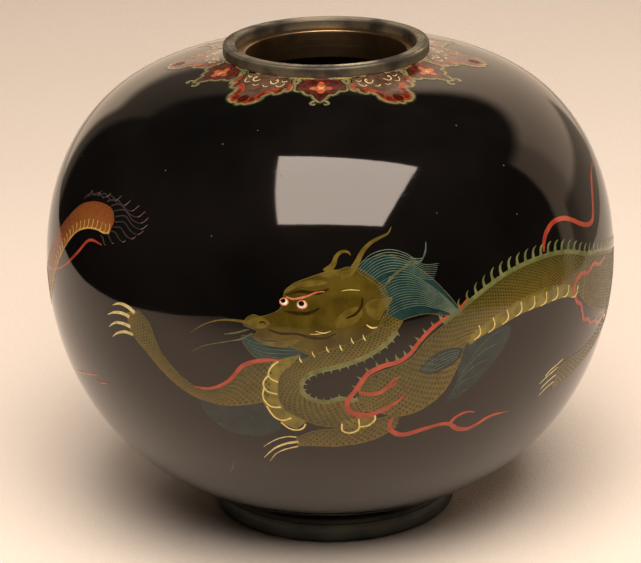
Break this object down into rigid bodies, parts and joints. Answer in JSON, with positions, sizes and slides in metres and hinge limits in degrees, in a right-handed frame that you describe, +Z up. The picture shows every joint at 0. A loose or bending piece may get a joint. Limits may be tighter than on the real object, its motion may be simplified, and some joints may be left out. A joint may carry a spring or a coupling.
{
  "type": "cloisonne vase",
  "caption": "Globular cloisonne enamel vase, low and open at the mouth, with a turned mouth rim, a turned foot ring and a dragon in coloured enamels on black.",
  "frame": {"origin": "centre of the foot ring's resting plane, on the vase's axis", "axes": "+Z up along the vase's axis, -Y towards the front with the dragon's head, +X to the right seen from the front"},
  "size_m": [0.125, 0.125, 0.1063],
  "materials": {
    "foot_patina": "dark grey-green patina, satin, worn brassy on the edges",
    "rim_patina": "dark grey patina, fine turned ridges, satin",
    "throat_brass": "tarnished brown brass, satin",
    "copper": "raised copper sheet, hidden under enamel",
    "solder": "grey-yellow hard solder",
    "counter_enamel": "dark brown counter enamel, slightly rippled gloss",
    "undercoat": "clear brown undercoat, hidden",
    "black_enamel": "black enamel polished to a mirror gloss",
    "sage_enamel": "polished sage-beige enamel",
    "russet_enamel": "polished russet enamel",
    "orange_enamel": "polished orange enamel",
    "wire": "polished thin wire, ground flush with the enamel",
    "olive_enamel": "polished olive enamel with wire scales",
    "ochre_enamel": "polished ochre enamel",
    "teal_enamel": "polished grey-teal enamel with combed wires",
    "yellow_enamel": "polished yellow-ochre enamel",
    "red_enamel": "polished brick-red enamel",
    "cream_enamel": "polished cream enamel",
    "tail_enamel": "polished orange-brown enamel with wire scales"
  },
  "bodies": {
    "root": {"foot_ring": "foot_patina", "foot_solder": "solder", "copper_bowl": "copper", "belly_braze": "solder", "copper_dome": "copper", "throat_sleeve": "throat_brass", "mouth_rim": "rim_patina", "rim_solder": "solder", "inner_counter_enamel": "counter_enamel", "base_counter_enamel": "counter_enamel", "undercoat_enamel": "undercoat", "ground_enamel": "black_enamel", "collar_borders": "sage_enamel", "collar_fields": "russet_enamel", "collar_flowers": "orange_enamel", "collar_wires": "wire", "dragon_hide": "olive_enamel", "dragon_head": "ochre_enamel", "dragon_mane": "teal_enamel", "back_fins": "sage_enamel", "belly_plates": "yellow_enamel", "red_flames": "red_enamel", "claws": "cream_enamel", "eyes": "cream_enamel", "tail_hide": "tail_enamel", "dragon_wires": "wire"}
  },
  "joints": []
}
